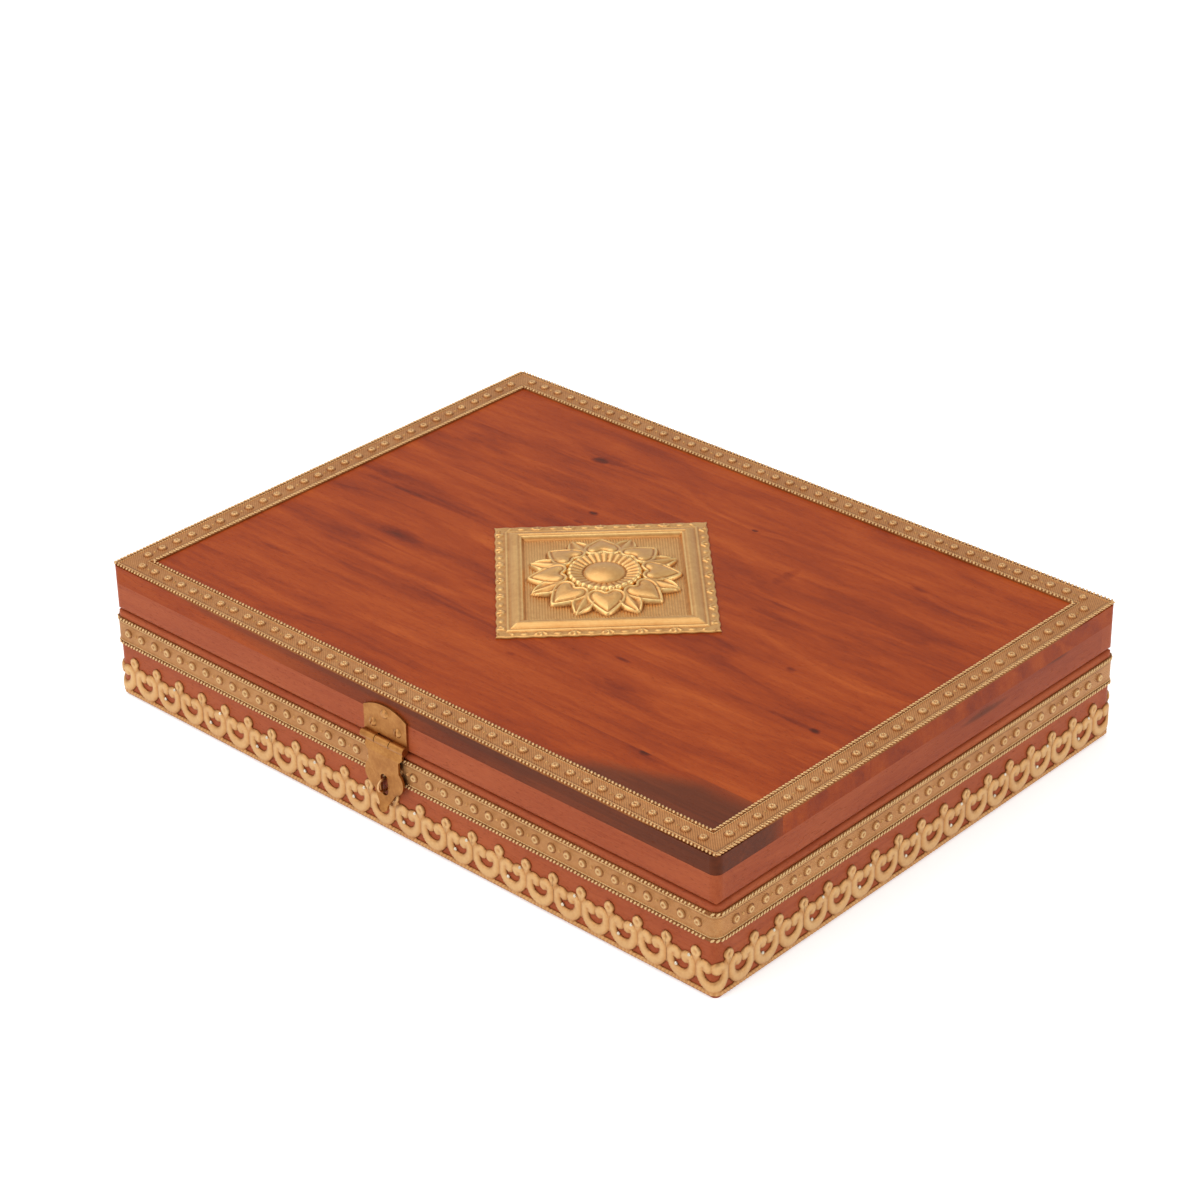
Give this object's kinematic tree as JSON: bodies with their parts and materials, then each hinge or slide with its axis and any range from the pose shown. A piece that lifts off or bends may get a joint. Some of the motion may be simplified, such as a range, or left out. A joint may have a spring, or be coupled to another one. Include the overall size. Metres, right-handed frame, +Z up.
{
  "type": "writing slope",
  "caption": "Low oblong wooden box for papers with a hinged lid, pressed-brass edging, a pierced brass gallery, a square brass medallion and a hasp with a staple.",
  "frame": {"origin": "centre of the base's underside, on the surface that the case stands on", "axes": "+X to the right along the long front side, +Y from the front with the hasp to the hinged back, +Z up"},
  "size_m": [0.3226, 0.2459, 0.065],
  "materials": {
    "case_wood": "polished",
    "pressed_brass": "satin",
    "plain_brass": "worn satin",
    "white_metal_nails": "bright"
  },
  "bodies": {
    "base": {"front_wall": "case_wood", "back_wall": "case_wood", "left_wall": "case_wood", "right_wall": "case_wood", "bottom_panel": "case_wood", "base_band": "pressed_brass", "gallery_strip": "pressed_brass", "base_band_nails": "plain_brass", "gallery_nails": "white_metal_nails", "staple": "plain_brass", "left_hinge_lower_leaf": "plain_brass", "right_hinge_lower_leaf": "plain_brass", "lower_leaf_screws": "plain_brass", "left_hinge_pin": "plain_brass", "right_hinge_pin": "plain_brass"},
    "lid": {"lid_front_rail": "case_wood", "lid_back_rail": "case_wood", "lid_left_rail": "case_wood", "lid_right_rail": "case_wood", "lid_front_plank": "case_wood", "lid_second_plank": "case_wood", "lid_third_plank": "case_wood", "lid_rear_plank": "case_wood", "lid_front_strip": "pressed_brass", "lid_right_strip": "pressed_brass", "lid_back_strip": "pressed_brass", "lid_left_strip": "pressed_brass", "lid_strip_nails": "plain_brass", "medallion": "pressed_brass", "medallion_nails": "plain_brass", "hasp_leaf": "plain_brass", "hasp_screws": "plain_brass", "hasp_pin": "plain_brass", "left_hinge_upper_leaf": "plain_brass", "right_hinge_upper_leaf": "plain_brass", "upper_leaf_screws": "plain_brass"},
    "tongue": {"hasp_tongue": "plain_brass"}
  },
  "joints": [
    {"name": "lid_hinge", "type": "hinge", "parent": "base", "child": "lid", "pos_m": [0, 0.1172, 0.0392], "axis": [-1, 0, 0], "range_deg": [0, 100]},
    {"name": "hasp_hinge", "type": "hinge", "parent": "lid", "child": "tongue", "pos_m": [-0.00255, -0.121, 0.0411], "axis": [-1, 0, 0], "range_deg": [0, 160]}
  ]
}
